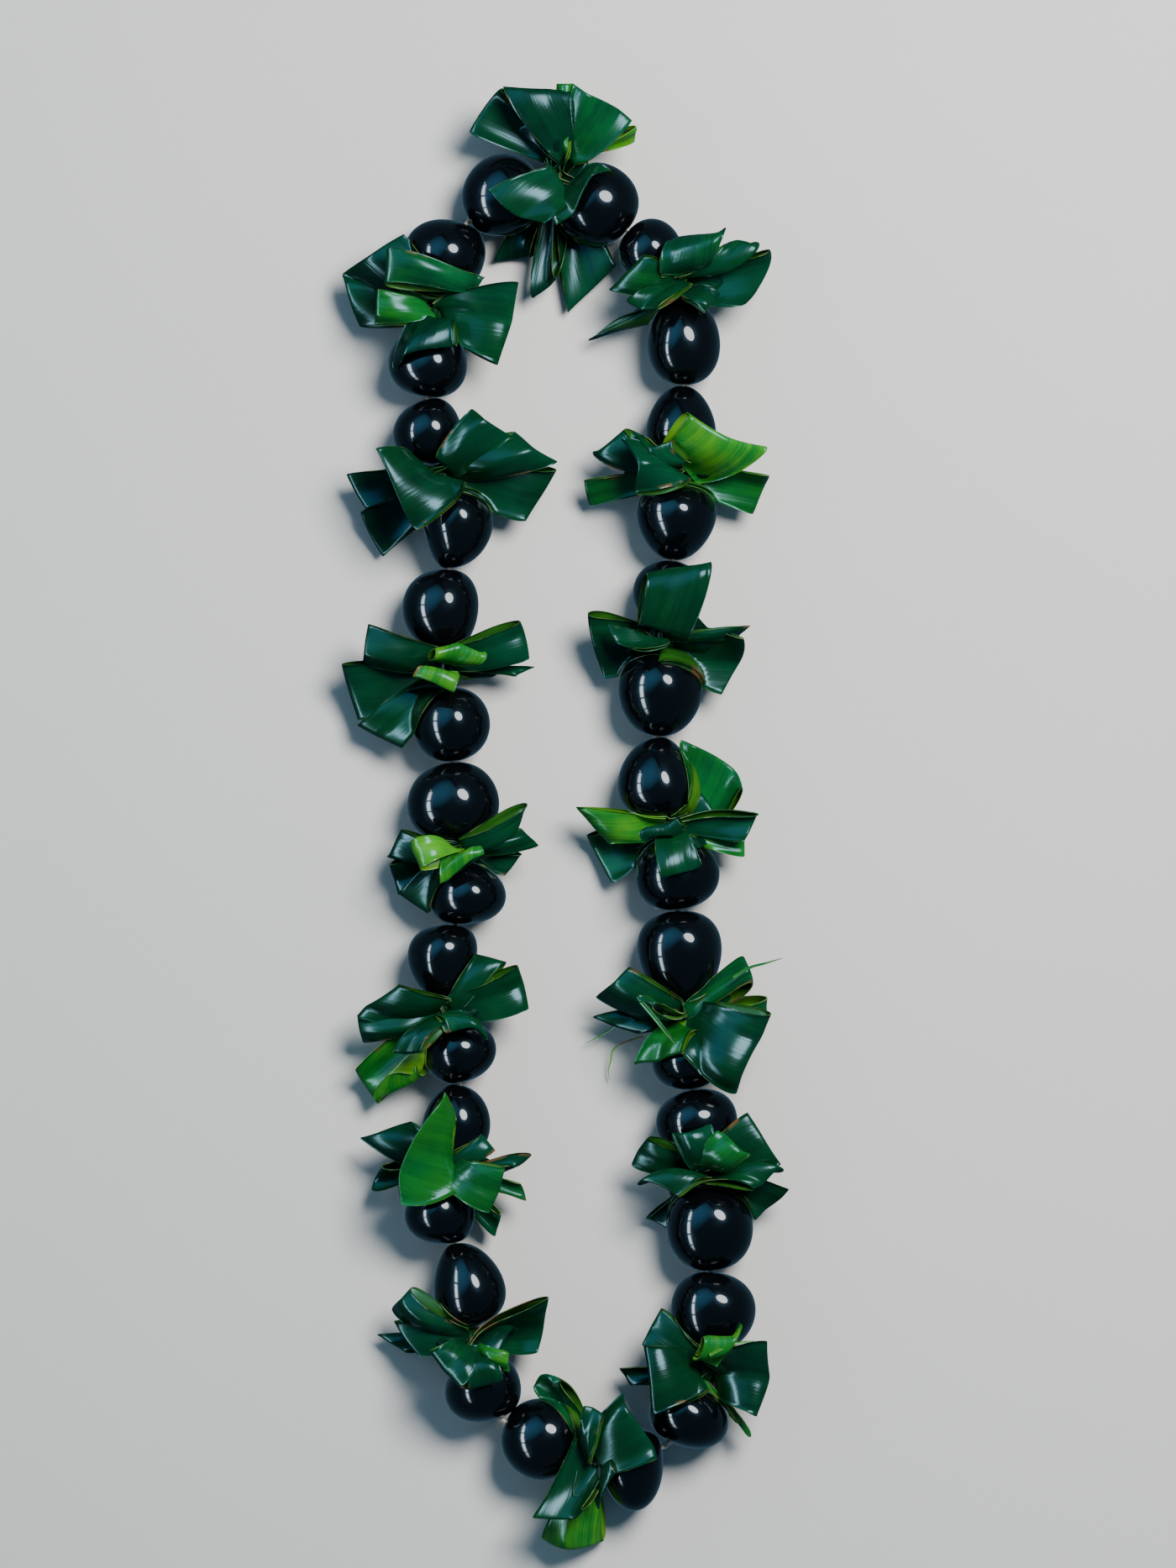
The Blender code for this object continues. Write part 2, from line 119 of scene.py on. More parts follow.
def twisted_rings(route, length):
    """A ring round each point of a level route, with dips between strands that turn along the route."""
    along = unit(np.roll(route, -1, axis=0) - np.roll(route, 1, axis=0))
    inward = np.stack((along[:, 1], -along[:, 0], np.zeros(len(along))), axis=1)
    turn = np.linspace(0, 2 * math.pi, CORD_SIDES, endpoint=False)
    turns = round(length / CORD_LAY / CORD_STRANDS) * CORD_STRANDS
    twist = 2 * math.pi * turns / CORD_STRANDS * np.arange(len(route)) / len(route)
    crest = np.abs(np.cos(CORD_STRANDS / 2 * (turn[None, :] - twist[:, None])))
    radius = (CORD_RADIUS * (1 - STRAND_DEPTH * (1 - crest)))[..., None]
    across = np.sin(turn)[None, :, None] * inward[:, None, :] + np.cos(turn)[None, :, None] * UP
    return route[:, None, :] + radius * across


def grid_quads(rows, columns, close_rows=False, close_columns=False):
    """Quads between neighbouring points of a grid that is numbered row by row."""
    row = np.arange(rows if close_rows else rows - 1)[:, None]
    column = np.arange(columns if close_columns else columns - 1)[None, :]
    next_row, next_column = (row + 1) % rows, (column + 1) % columns
    corners = (
        row * columns + column,
        row * columns + next_column,
        next_row * columns + next_column,
        next_row * columns + column,
    )
    return np.stack(corners, axis=-1).reshape(-1, 4)


def outward(points, quads):
    """The quads, turned round where the closed surface that they make has a negative volume."""
    a, b, c, d = (points[quads[:, corner]] for corner in range(4))
    volume = np.einsum("ij,ij->i", a, np.cross(b - a, c - a) + np.cross(c - a, d - a)).sum()
    return quads if volume > 0 else quads[:, ::-1]


def new_piece(name, points, quads, material, slot, *replaced):
    """A smooth closed mesh of millimetre points that rides on the lei and stands for its solid."""
    mesh = bpy.data.meshes.new(name)
    mesh.from_pydata((points * MM).tolist(), [], quads.tolist())
    mesh.materials.append(material)
    mesh.shade_smooth()
    piece = bpy.data.objects.new(name, mesh)
    bpy.context.scene.collection.objects.link(piece)
    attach(piece, "root")
    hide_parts(*replaced)
    return piece


def new_finish(name, **settings):
    """A material, its nodes and its Principled surface, with plain values set on that surface's sockets."""
    material = bpy.data.materials.new(name)
    material.use_nodes = True
    surface = material.node_tree.nodes["Principled BSDF"]
    for socket, value in settings.items():
        surface.inputs[socket.replace("_", " ")].default_value = value
    return material, material.node_tree, surface


def add_node(tree, kind, links=(), **settings):
    """A shader node with settings on itself, and links or plain values on its inputs."""
    made = tree.nodes.new(kind)
    for name, value in settings.items():
        setattr(made, name, value)
    for socket, value in dict(links).items():
        if isinstance(value, bpy.types.NodeSocket):
            tree.links.new(value, made.inputs[socket])
        else:
            made.inputs[socket].default_value = value
    return made


def object_place(tree):
    """Every point's own place, in metres."""
    return add_node(tree, "ShaderNodeTexCoord").outputs["Object"]


def noise(tree, place, scale, detail=2.0, **inputs):
    """The value of a soft noise of this scale at each place."""
    inputs = {"Vector": place, "Scale": scale, "Detail": detail, **inputs}
    return add_node(tree, "ShaderNodeTexNoise", inputs).outputs[0]


def mix_colours(tree, share, first, second):
    """A colour that goes from the first to the second as the share goes from 0 to 1."""
    inputs = {MIX_SHARE: share}
    for socket, colour in zip(MIX_COLOURS, (first, second)):
        inputs[socket] = colour if isinstance(colour, bpy.types.NodeSocket) else (*colour, 1.0)
    return add_node(tree, "ShaderNodeMix", inputs, data_type="RGBA").outputs[MIX_RESULT]


def join_bump(tree, surface, height, depth, strength):
    """Gives a surface a bump that is this deep, in millimetres, where the height is 1."""
    made = add_node(tree, "ShaderNodeBump", {"Height": height, "Distance": depth * MM, "Strength": strength})
    tree.links.new(made.outputs[0], surface.inputs["Normal"])


cotton, cotton_tree, cotton_surface = new_finish("cotton_thread", Roughness=0.85)
cotton_fuzz = noise(cotton_tree, object_place(cotton_tree), COTTON_FUZZ_SCALE)
cotton_colour = mix_colours(cotton_tree, cotton_fuzz, COTTON_SHADE, COTTON)
cotton_tree.links.new(cotton_colour, cotton_surface.inputs["Base Color"])
join_bump(cotton_tree, cotton_surface, cotton_fuzz, *COTTON_BUMP)

cord_route, cord_length = even_route(np.array(cord_corners))
cord_rings = twisted_rings(cord_route, cord_length)
cord_quads = grid_quads(*cord_rings.shape[:2], True, True)
cord_points = cord_rings.reshape(-1, 3)
new_piece(
    "cotton_cord", cord_points, outward(cord_points, cord_quads), cotton, "cotton_thread", "stringing_cord"
)


# The nuts are ripe kukui, sanded and polished until the shell is a near-black mirror. Each is round or a
# little egg-shaped, keeps shallow waves from its ridges, and is drilled through for the cord.

BORE_RADIUS = 1.6
MESH_GAP = 0.3
NUT_HEIGHT = 28.8
NUT_HEIGHT_SHARE = 0.53
NUT_FULLNESS = 0.85
NUT_EGG = 0.22
NUT_SHOULDER = 6.4
NUT_SIDES = 48
NUT_RINGS = 38
NUT_WAVE = 0.010
NUT_WAVES = (2, 3, 5)
NUT_WAVE_LEAN = 2.0
NUT_WAVE_HEIGHTS = (0.5, 1.0)
NUT_SEED = 7
SHELL_BLACK = (0.0006, 0.0016, 0.0030)
SHELL_BROWN = (0.0024, 0.0026, 0.0026)
SHELL_TINT = (0.30, 0.65, 1.0, 1.0)
SHELL_CLOUD_SCALE = 90.0
SHELL_CLOUD_DETAIL = 5.0
SHELL_ROUGHNESS = 0.15
SHELL_HAZE = 0.2
SHELL_DENT_SCALE = 240.0
SHELL_DENT_DETAIL = 3.0
SHELL_BUMP = (0.25, 0.6)

# Each nut's width, how far its body stands off its bore toward the inside of the loop, and how pointed it is,
# positive where the point leads along the cord.
NUTS = (
    (30, 0, 0.0), (23, 0, 0.2), (26, 0, -0.2), (24.5, 0, -1.0), (28, 0, 1.0), (25, 0, 0.0), (30, 0, 0.5),
    (27.5, 2.4, -0.9), (30, -1.2, -0.3), (29.5, 0, 1.0), (26, 0, 0.0), (29, 0, 0.3), (31, -0.5, 0.0),
    (30, -1.8, 0.3), (29, -2.4, 0.0), (30, -6, -0.4), (29, 0, 0.2), (27.5, -2.5, 0.0), (25, 2.4, 1.0),
    (25, -3.5, 0.0), (24, 2, 0.4), (26, 2, 0.0), (24, -3.3, -1.0), (27.5, 3.9, 0.3), (33, -1, 0.2),
    (27.5, 1, 0.0), (27, -2.4, -0.3), (25, 3.9, -0.7), (24.5, -2.7, 0.0), (28, -1, 0.4), (29, -3.3, 0.0),
    (28.5, -1.5, -0.3),
)

# Half the length of each rosette's pinched middle along the cord.
HUB_HALF_LENGTHS = (5.4, 5.4, 3.8, 4.2, 3.0, 4.0, 4.5, 6.0, 3.6, 4.8, 3.6, 3.0, 3.0, 6.0, 4.2, 6.0)


def meeting_gap(corner):
    """How far two nuts stand back from the cord's corner: half a gap, plus the half-bend's squared tangent."""
    before, at, after = (cord_corners[(corner + step) % len(cord_corners)] for step in (-1, 0, 1))
    half_bend = math.acos(min(1.0, float(unit(at - before) @ unit(after - at)))) / 2
    return MESH_GAP / 2 + NUT_SHOULDER * math.tan(half_bend) ** 2


def nut_frame(index):
    """A nut's two ends on the cord, half width, half height, offset and point."""
    width, shift, tip = NUTS[index]
    start, end = cord_corners[index], cord_corners[(index + 1) % len(cord_corners)]
    hub_leads = index % 2 == 0
    rosette = (index + (0 if hub_leads else 1)) // 2 % len(HUB_HALF_LENGTHS)
    hub = HUB_HALF_LENGTHS[rosette] + MESH_GAP
    meeting = meeting_gap(index + 1 if hub_leads else index)
    head, tail = (hub, meeting) if hub_leads else (meeting, hub)
    along = unit(end - start)
    half_height = min(NUT_HEIGHT / 2, width * NUT_HEIGHT_SHARE)
    return start + along * head, end - along * tail, width / 2, half_height, shift, tip


def nut_surface(frame_of_nut, chance):
    """Rings from one mouth of the bore to the other.

    The angle goes from about 0 at one mouth to half a turn at the other. A ring's place along the nut follows
    its cosine. The radius is the sine to the power of the fullness, times 1 plus the egg's share of the
    cosine, times 1 plus slow random waves round the nut. The middle stands off by the shift times the sine.
    """
    start, end, half_width, half_height, shift, tip = frame_of_nut
    along = unit(end - start)
    inward = np.array((along[1], -along[0], 0.0))
    mouth = math.asin((BORE_RADIUS / half_width) ** (1 / NUT_FULLNESS))
    angle = np.linspace(mouth, math.pi - mouth, NUT_RINGS)[:, None]
    turn = np.linspace(0, 2 * math.pi, NUT_SIDES, endpoint=False)[None, :]
    girth = np.sin(angle) ** NUT_FULLNESS * (1 + NUT_EGG * tip * np.cos(angle))
    wave = np.zeros((NUT_RINGS, NUT_SIDES))
    for count in NUT_WAVES:
        lean = chance.uniform(-NUT_WAVE_LEAN, NUT_WAVE_LEAN)
        phase = chance.uniform(0, 2 * math.pi)
        height = chance.uniform(*NUT_WAVE_HEIGHTS)
        wave += height * np.cos(count * turn + lean * angle + phase)
    girth = girth * (1 + NUT_WAVE * wave * np.sin(angle))
    wide, high = half_width * girth, half_height * girth
    off = shift * np.sin(angle) * np.ones_like(turn)
    for end_ring in (0, -1):
        wide[end_ring] = high[end_ring] = BORE_RADIUS
        off[end_ring] = 0.0
    centre = (start + end) / 2 - np.cos(angle)[..., None] * along * np.linalg.norm(end - start) / 2
    across = (np.sin(turn) * wide + off)[..., None] * inward - (np.cos(turn) * high)[..., None] * UP
    rings = centre + across
    rings[..., 2] = np.maximum(rings[..., 2], 0.0)
    return rings


def math_node(tree, operation, *values):
    """The result of one step of arithmetic on these values."""
    return add_node(tree, "ShaderNodeMath", dict(enumerate(values)), operation=operation).outputs[0]


shell, shell_tree, shell_surface = new_finish(
    "polished_shell", IOR=1.19, Specular_Tint=SHELL_TINT, Coat_Weight=1.0, Coat_Roughness=0.03, Coat_IOR=1.36
)
shell_place = object_place(shell_tree)
shell_clouds = noise(shell_tree, shell_place, SHELL_CLOUD_SCALE, SHELL_CLOUD_DETAIL)
shell_colour = mix_colours(shell_tree, shell_clouds, SHELL_BLACK, SHELL_BROWN)
shell_tree.links.new(shell_colour, shell_surface.inputs["Base Color"])
shell_haze = math_node(shell_tree, "MULTIPLY_ADD", shell_clouds, SHELL_HAZE, SHELL_ROUGHNESS)
shell_tree.links.new(shell_haze, shell_surface.inputs["Roughness"])
shell_dents = noise(shell_tree, shell_place, SHELL_DENT_SCALE, SHELL_DENT_DETAIL)
join_bump(shell_tree, shell_surface, shell_dents, *SHELL_BUMP)

nut_frames = [nut_frame(index) for index in range(len(NUTS))]
nut_quads = grid_quads(NUT_RINGS, NUT_SIDES, True, True)
for number, frame_of_nut in enumerate(nut_frames, 1):
    nut_points = nut_surface(frame_of_nut, np.random.default_rng((NUT_SEED, number))).reshape(-1, 3)
    new_piece(
        f"kukui_{number:02d}", nut_points, outward(nut_points, nut_quads), shell, "polished_nut",
        f"nut_{number:02d}",
    )


# Each rosette is one fresh ti leaf, torn into strips and folded to and fro. The cord pierces the strips
# between two nuts, where they stand on edge. Outside the nuts each strip turns back in a broad soft loop.

LEAF_SEED = 5
LEAF_THICKNESS = 0.4
LOOP_ROWS = 22
LOOP_COLUMNS = 17
ROW_CROWDING = 1.6

# How far the leaf stays off the nuts and the table.
LEAF_CLEARANCE = 0.45
LAYER_CLEARANCE = 1.1
FLOOR_CLEARANCE = 0.4
CLEARING_PASSES = 5
CLEARING_REACH = 60.0
FOOT_SHARE = 0.8

# The roots of the folds on the cord.
ROOT_SPACING = 0.7
ROOT_SPREAD = 0.62
ROOT_WIDTH_SHARE = 0.65
ROOT_WIDEST = 23.0
ROOT_TOP = 11.5
ROOT_TOP_SHARE = 0.52
ROOT_LEAN = 1.1

# The shape of a fold between its root and its fold line. Pairs are the least and the most that is drawn.
FLARE = 0.5
OPENING_PEAK = 1.4
OPENING_RISE = 1.2
OPENING_CLOSE = 0.5
GAPES = (0.08, 0.20)
SKEWS = (0.1, 0.5)
ARCHES = (0.05, 0.13)
CAMBERS = (0.06, 0.16)
BOWS = (0.00, 0.05)
PLEATS = (0.05, 0.12)
PLEAT_COUNTS = (0.4, 1.0)
PLEAT_SHARPNESS = 0.98
RIPPLES = (0.3, 1.0)
VEIN_SLANT = 0.15

# The turns from one fold to the next, and the short folds tucked in between.
LINK_ROWS = 4
LINK_TWIST = 0.4
TUCK_REACH = 0.64
TUCK_DROP = 5.0
TUCK_TONES = (0.0, 0.2)
TUCK_WIDEST_ANGLE = 80.0
TUCK_LEAST_WIDTH = 6.0

# The loose strands.
STRAND_ROWS = 25
STRAND_EASE = 12
STRAND_TILT = 0.3
STRAND_TAPER = 0.8
STRAND_TAPER_POWER = 3

# The leaf gathered round the cord, painted darker than the deepest green as shade deep among the folds.
# Its edge depth counts as far from any rim.
HUB_RADIUS = 5.4
HUB_END_RADIUS = 3.6
MIDDLE_RINGS = 13
MIDDLE_SIDES = 72
MIDDLE_PLEATS = 9
MIDDLE_PLEAT_DEPTH = 0.10
MIDDLE_ROUNDING = 0.7
MIDDLE_SHADE_TONE = -0.3
MIDDLE_EDGE_DEPTH = 9.0

# The folds of each rosette: the two ends of the line where the leaf turns back (x and y from the rosette's
# point on the cord, and z above the table) and its tone, from 0, deep green, to 1, yellow-green. The tone is
# partly the leaf's own colour and partly painted light: painted shade on folds that lie in shadow, and a
# painted yellow glow where light shines through the leaf.
# A fold may have settings of its own. Its root is where it leaves the cord, given as the ends are. Its lean
# is how far the root line goes along the cord for its rise. Its pinch is the root line's length, and its bow
# how far the fold line bends outward, both as shares of the fold line. Its gape is the gap between its two
# layers, as a share of its reach.
FOLDS = (
    (
        ((-29, 14, 18), (-19, 27, 27), 0.25, {"root": (1, 3, 20), "pinch": 0.4}),
        ((-18, 28, 31), (6, 25, 34), 0.15, {"root": (3, 3, 20), "gape": 0.16, "pinch": 0.35}),
        ((1, 29, 30), (7, 29, 31), 0.7, {"root": (5, 3, 20), "gape": 0.05}),
        ((7, 29, 32), (28, 16, 26), 0.4, {"root": (6, 3, 20), "gape": 0.06, "pinch": 0.35}),
        ((29, 15, 22), (29, 9, 15), 0.85, {"root": (8, 3, 20)}),
        ((-23, -9, 28), (-3, -20, 31), 0.3, {"root": (3, -6, 20), "bow": 0.15, "lean": 0.0, "gape": 0.04}),
        ((0, -20, 31), (20, -1, 30), 0.25, {"root": (6, -6, 20), "bow": 0.1, "lean": 0.0, "gape": 0.04}),
        ((-21, -33, 4), (-8, -31, 5), 0.05), ((-7, -46, 9), (1, -39, 12), 0.1),
        ((22, -34, 4), (5, -51, 5), 0.25),
    ),
    (
        ((-7, 13, 30), (14, 19, 33), 0.35, {"gape": 0.3}), ((30, 11, 24), (22, -6, 16), 0.3, {"bow": 0.15}),
        ((14, 13, 26), (26, 14, 24), 0.3, {"bow": 0.2}),
        ((-15, 9, 27), (-27, -3, 21), 0.35), ((-35, -20, 9), (-19, -16, 12), 0.1),
        ((-21, -8, 28), (-10, -11, 31), 0.3), ((12, -4, 27), (7, -11, 30), 0.15),
    ),
    (
        ((3, 20, 33), (31, 8, 25), 0.75), ((32, -1, 19), (26, -14, 9), 0.5, {"gape": 0.06}),
        ((-18, 12, 27), (-3, 10, 33), 0.35), ((-18, 12, 32), (-15, -8, 31), 0.3),
        ((-31, 7, 14), (-20, 14, 21), 0.3), ((-34, -3, 13), (-32, -12, 8), 0.45, {"gape": 0.06}),
    ),
    (
        ((-6, 23, 30), (17, 27, 32), 0.28, {"gape": 0.25, "pinch": 0.8}),
        ((-27, 9, 20), (-21, -13, 10), 0.25), ((31, 5, 22), (26, 0, 20), 0.2, {"gape": 0.05}),
        ((30, 1, 24), (21, -19, 12), 0.25, {"gape": 0.05, "pinch": 0.9}),
        ((-20, 5, 27), (-11, -4, 31), 0.3, {"gape": 0.05}),
    ),
    (
        ((5, 31, 14), (26, 14, 19), 0.5, {"root": (8, 2, 14), "bow": 0.1, "pinch": 0.9}),
        ((-33, 7, 18), (-21, -6, 14), 0.75), ((-29, -3, 10), (-20, -19, 6), 0.4),
        ((32, 5, 22), (27, -4, 18), 0.3), ((27, -4, 14), (27, -10, 12), 0.7), ((-9, -5, 30), (5, 1, 32), 0.2),
        ((-3, -18, 32), (12, -13, 30), 0.3),
    ),
    (
        ((-19, 19, 24), (-31, 7, 16), 0.3), ((-32, 1, 11), (-16, -5, 14), 0.3),
        ((-17, -16, 20), (0, -12, 30), 0.6), ((22, 22, 18), (25, 13, 22), 0.4),
        ((30, 8, 12), (30, 0, 10), 0.5), ((31, 2, 28), (19, -26, 24), 0.2),
        ((-16, 9, 32), (-11, 5, 33), 0.35),
    ),
    (
        ((15, 21, 24), (27, 3, 20), 0.25), ((28, 1, 22), (17, -5, 27), 0.3), ((4, 15, 33), (16, 7, 32), 0.55),
        ((-20, 13, 22), (-26, 3, 16), 0.25), ((-24, -5, 24), (-10, -6, 30), 0.25),
        ((-21, -17, 7), (-13, -20, 6), 0.15), ((30, -6, 14), (18, -17, 10), 0.2),
        ((-12, 14, 30), (2, 17, 31), 0.3),
    ),
    (
        ((-15, 22, 18), (-22, 9, 20), 0.2), ((-20, 9, 31), (-19, -15, 28), 0.2),
        ((-30, 0, 10), (-26, -6, 9), 0.15), ((1, 10, 33), (14, 16, 30), 0.7),
        ((23, 11, 26), (20, -16, 22), 0.2), ((13, -18, 14), (17, -24, 12), 0.6),
    ),
    (
        ((-19, 26, 16), (-9, 29, 20), 0.4, {"root": (-1, 6, 14), "bow": 0.3, "pinch": 1.1}),
        ((-1, 20, 30), (6, 17, 31), 0.3, {"gape": 0.05, "bow": 0.05}),
        ((13, 24, 26), (24, 1, 32), 0.25, {"pinch": 0.5}),
        ((-18, -21, 26), (-2, -17, 33), 0.3, {"root": (3, 6, 30), "pinch": 1.0, "lean": 2.0, "gape": 0.06}),
        ((3, -17, 25), (11, -4, 29), 0.2, {"root": (6, 5, 24), "gape": 0.06}),
        ((-16, -29, 10), (6, -30, 9), 0.75, {"pinch": 0.3, "bow": 0.1}),
    ),
    (
        ((-22, 19, 20), (-29, 11, 14), 0.3), ((-34, 2, 6), (-24, -4, 8), 0.4),
        ((-15, -3, 29), (-4, -16, 32), 0.3), ((-2, -16, 31), (10, -14, 29), 0.25),
        ((13, -3, 32), (13, -10, 29), 0.7), ((27, 17, 24), (23, -4, 14), 0.35),
        ((-28, 7, 18), (-19, -5, 16), 0.25),
    ),
    (
        ((-1, 29, 31), (-12, -13, 33), 0.6, {"bow": 0.16, "root": (6, 0, 20), "gape": 0.06, "lean": 0.0}),
        ((-11, 17, 16), (-29, 11, 14), 0.15), ((-21, 2, 14), (-25, -7, 10), 0.25),
        ((23, 1, 28), (17, -15, 26), 0.5), ((32, 5, 16), (26, 1, 18), 0.3),
        ((28, -5, 14), (30, -11, 12), 0.4), ((21, -16, 10), (19, -24, 8), 0.3),
        ((14, 13, 22), (19, 7, 22), 0.3),
    ),
    (
        ((-17, 11, 25), (-32, -2, 18), 0.3), ((-32, -2, 16), (-30, -11, 14), 0.3),
        ((-33, -20, 12), (-25, -32, 8), 0.7), ((-25, -32, 9), (-10, -22, 16), 0.75),
        ((-19, -14, 28), (-9, -14, 30), 0.2), ((10, 21, 18), (21, 18, 20), 0.25),
        ((25, 17, 20), (29, 2, 16), 0.3), ((1, -5, 31), (15, -8, 28), 0.35),
    ),
    (
        ((-17, 4, 32), (-14, -6, 32), 0.85, {"gape": 0.25}), ((-7, -11, 31), (9, -1, 30), 0.75),
        ((24, 17, 24), (20, 8, 20), 0.3), ((28, 2, 16), (22, 8, 18), 0.25), ((22, -1, 15), (16, -8, 12), 0.2),
        ((-21, 7, 18), (-26, -2, 12), 0.15), ((-25, -4, 12), (-22, -15, 9), 0.2),
        ((-22, -15, 12), (-11, -22, 14), 0.3),
    ),
    (
        ((-27, 15, 24), (-29, 1, 18), 0.2, {"gape": 0.07}), ((-37, 2, 14), (-31, -18, 12), 0.25),
        ((-31, -20, 11), (-15, -28, 14), 0.3), ((-3, 8, 32), (15, 7, 30), 0.75),
        ((-11, -3, 31), (4, -7, 33), 0.8), ((27, 17, 22), (30, 5, 16), 0.3),
        ((32, 1, 12), (25, -2, 12), 0.35),
    ),
    (
        ((-25, 8, 33), (-8, -19, 36), 0.2), ((-35, 0, 14), (-28, -12, 12), 0.15, {"gape": 0.12}),
        ((-30, -13, 10), (-22, -29, 6), 0.15), ((10, 23, 27), (24, 12, 27), 0.25),
        ((25, 15, 22), (40, 4, 21), 0.25), ((40, 2, 17), (29, -16, 12), 0.25, {"pinch": 0.4, "gape": 0.12}),
    ),
    (
        ((-11, 26, 20), (-33, 12, 12), 0.2), ((-33, 12, 10), (-27, -6, 12), 0.3),
        ((-17, 20, 31), (-17, 8, 33), 0.4, {"root": (17, 8, 21)}), ((-20, 6, 28), (-21, -6, 24), 0.6),
        ((-15, -22, 24), (6, -12, 32), 0.15), ((30, 9, 25), (23, -20, 18), 0.35, {"pinch": 0.35}),
    ),
)

# Torn strands that stand loose from a rosette: its row among the folds, counted from 0, the corners of the
# strand's middle line (given as the ends of folds are), its width and its tone.
STRANDS = (
    (5, ((18, 15, 24), (24, 19, 23), (29, 20, 23), (35.5, 22, 22)), 1.0, 0.6),
    (5, ((-15, 7, 33.5), (-9, 0, 34.5), (-3, -8, 34)), 1.8, 0.55),
    (5, ((-14, -6, 14), (-21, -8, 8), (-26, -11, 5), (-25, -15, 4), (-27, -18, 3), (-26, -22, 2)), 0.6, 1.0),
    (5, ((-16, -4, 12), (-24, -2, 7), (-29, -6, 5), (-35, -9, 3)), 0.6, 0.9),
    (7, ((2, 6, 33), (9, 10, 33.5), (18, 11, 31)), 1.2, 0.8),
)


def clear_of_nuts(points, margin):
    """The points, each moved away from the foot of a nut that it is in or too close to, a few times over.

    A share of 1 is on the nut's surface with its margin. It is the root of a sum: the squared share along the
    nut, and the share across it to the power of 2 over the fullness. The move is what the share lacks of 1,
    times half the nut's width.
    """
    around = points.reshape(-1, 3).mean(axis=0)
    near_nuts = [nut for nut in nut_frames if np.linalg.norm((nut[0] + nut[1]) / 2 - around) < CLEARING_REACH]
    for _ in range(CLEARING_PASSES):
        for start, end, half_width, half_height, shift, tip in near_nuts:
            along = unit(end - start)
            inward = np.array((along[1], -along[0], 0.0))
            half_length = np.linalg.norm(end - start) / 2
            offset = points - (start + end) / 2
            sine = np.sqrt(1 - np.clip(offset @ along / half_length, -1, 1) ** 2)
            offset = offset - inward * (shift * sine)[..., None]
            local = np.stack((offset @ along, offset @ inward, offset[..., 2]), axis=-1)
            girth = 1 - NUT_EGG * tip * np.clip(local[..., 0] / half_length, -1, 1)
            round_share = (local[..., 1] / (half_width * girth + margin)) ** 2
            round_share = round_share + (local[..., 2] / (half_height * girth + margin)) ** 2
            along_share = (local[..., 0] / (half_length + margin)) ** 2
            lack = np.maximum(0, 1 - np.sqrt(along_share + round_share ** (1 / NUT_FULLNESS)))
            away = unit(offset + UP * half_height * FOOT_SHARE)
            points = points + away * (lack * half_width)[..., None]
    return points


